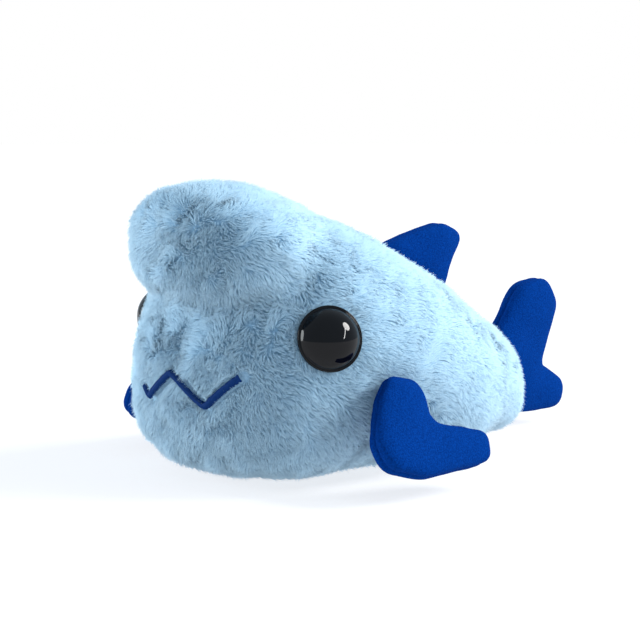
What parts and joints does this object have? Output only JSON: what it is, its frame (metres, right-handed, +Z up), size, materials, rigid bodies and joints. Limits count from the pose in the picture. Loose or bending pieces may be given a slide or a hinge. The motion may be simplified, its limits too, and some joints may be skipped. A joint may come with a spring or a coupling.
{
  "type": "plush shark",
  "caption": "Stuffed shark toy with an overhanging snout, button eyes, a stitched zigzag mouth and padded fins that flex at their seams.",
  "frame": {"origin": "under the middle of the whole toy, on the surface that it rests on", "axes": "+Z up, the snout points along -Y, the shark's left side is +X"},
  "size_m": [0.205, 0.2732, 0.1406],
  "materials": {
    "fur": "long soft pile, light blue",
    "fin_fleece": "short-nap fleece, royal blue",
    "eye_plastic": "polished black",
    "washer_plastic": "moulded, natural white",
    "mouth_thread": "satin-stitched dark blue thread",
    "closing_thread": "sewing thread, light blue",
    "fibre_fill": "loose white polyester fibre"
  },
  "bodies": {
    "body": {"left_side_panel": "fur", "right_side_panel": "fur", "belly_panel": "fur", "snout_panel": "fur", "body_stuffing": "fibre_fill", "left_eye": "eye_plastic", "right_eye": "eye_plastic", "left_eye_washer": "washer_plastic", "right_eye_washer": "washer_plastic", "mouth_stitching": "mouth_thread", "closing_stitches": "closing_thread", "left_pectoral_root_tab": "fin_fleece", "right_pectoral_root_tab": "fin_fleece", "dorsal_root_tab": "fin_fleece", "tail_root_tab": "fin_fleece"},
    "left_pectoral": {"left_pectoral_upper_panel": "fin_fleece", "left_pectoral_lower_panel": "fin_fleece", "left_pectoral_stuffing": "fibre_fill"},
    "right_pectoral": {"right_pectoral_upper_panel": "fin_fleece", "right_pectoral_lower_panel": "fin_fleece", "right_pectoral_stuffing": "fibre_fill"},
    "dorsal": {"dorsal_left_panel": "fin_fleece", "dorsal_right_panel": "fin_fleece", "dorsal_stuffing": "fibre_fill"},
    "tail": {"tail_left_panel": "fin_fleece", "tail_right_panel": "fin_fleece", "tail_stuffing": "fibre_fill"}
  },
  "joints": [
    {"name": "left_pectoral_lift", "type": "hinge", "parent": "body", "child": "left_pectoral", "pos_m": [0.08013, -0.06931, 0.04757], "axis": [-0.1052, -0.9691, 0.2232], "range_deg": [-4, 95], "stiffness_Nm_per_rad": 0.06},
    {"name": "right_pectoral_lift", "type": "hinge", "parent": "body", "child": "right_pectoral", "pos_m": [-0.08013, -0.06931, 0.04757], "axis": [-0.1052, 0.9691, -0.2232], "range_deg": [-4, 95], "stiffness_Nm_per_rad": 0.06},
    {"name": "dorsal_sway", "type": "hinge", "parent": "body", "child": "dorsal", "pos_m": [0, 0.00104, 0.10696], "axis": [0, 0.852, -0.5235], "range_deg": [-40, 40], "stiffness_Nm_per_rad": 0.06},
    {"name": "tail_sway", "type": "hinge", "parent": "body", "child": "tail", "pos_m": [0, 0.08983, 0.01469], "axis": [0, -0.0667, 0.9978], "range_deg": [-45, 45], "stiffness_Nm_per_rad": 0.06}
  ]
}
